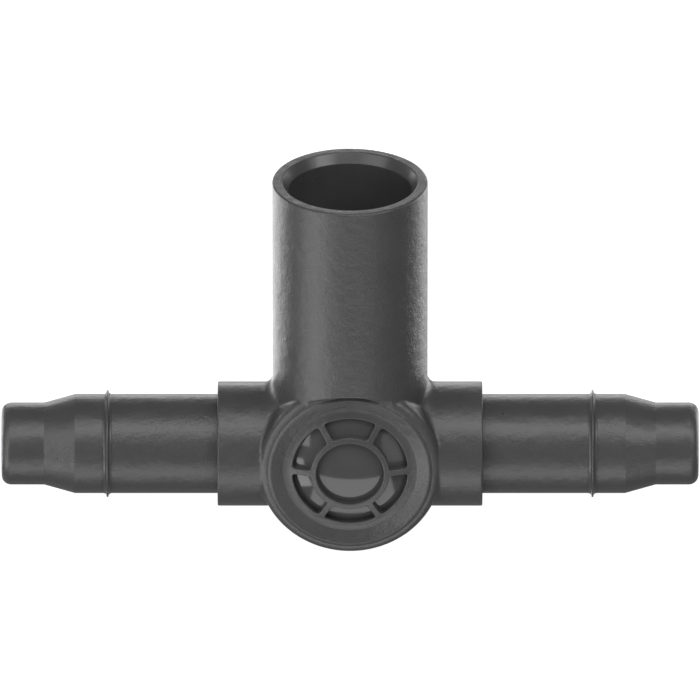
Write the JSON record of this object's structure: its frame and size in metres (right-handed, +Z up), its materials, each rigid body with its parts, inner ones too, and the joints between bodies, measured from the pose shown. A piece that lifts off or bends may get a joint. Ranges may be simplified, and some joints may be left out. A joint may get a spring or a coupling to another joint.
{
  "type": "barbed tee connector",
  "caption": "Black plastic irrigation tee: two barbed tubing ends on a straight run, a plain upright branch socket with a tapered mouth, and a round hub with a crowned, pierced cover.",
  "frame": {"origin": "where the axis of the barbed run and the axis of the branch cross, in the middle of the hub", "axes": "+X along the barbed run to the right, +Z up the branch and out of its socket, -Y out of the front of the hub"},
  "size_m": [0.1222, 0.0272, 0.0669],
  "materials": {
    "body_plastic": "moulded, finely grained",
    "liner_plastic": "moulded, smooth",
    "barb_plastic": "moulded, finely grained",
    "ring_plastic": "moulded, smooth",
    "seal_rubber": "smooth",
    "cover_plastic": "moulded, finely grained",
    "backing_plastic": "polished"
  },
  "bodies": {
    "root": {"tee_body": "body_plastic", "socket_liner": "liner_plastic", "left_barb_insert": "barb_plastic", "right_barb_insert": "barb_plastic", "left_grip_ring": "ring_plastic", "right_grip_ring": "ring_plastic", "left_seal_ring": "seal_rubber", "right_seal_ring": "seal_rubber", "front_cover": "cover_plastic", "rear_cover": "cover_plastic", "front_backing_disc": "backing_plastic", "rear_backing_disc": "backing_plastic"}
  },
  "joints": []
}
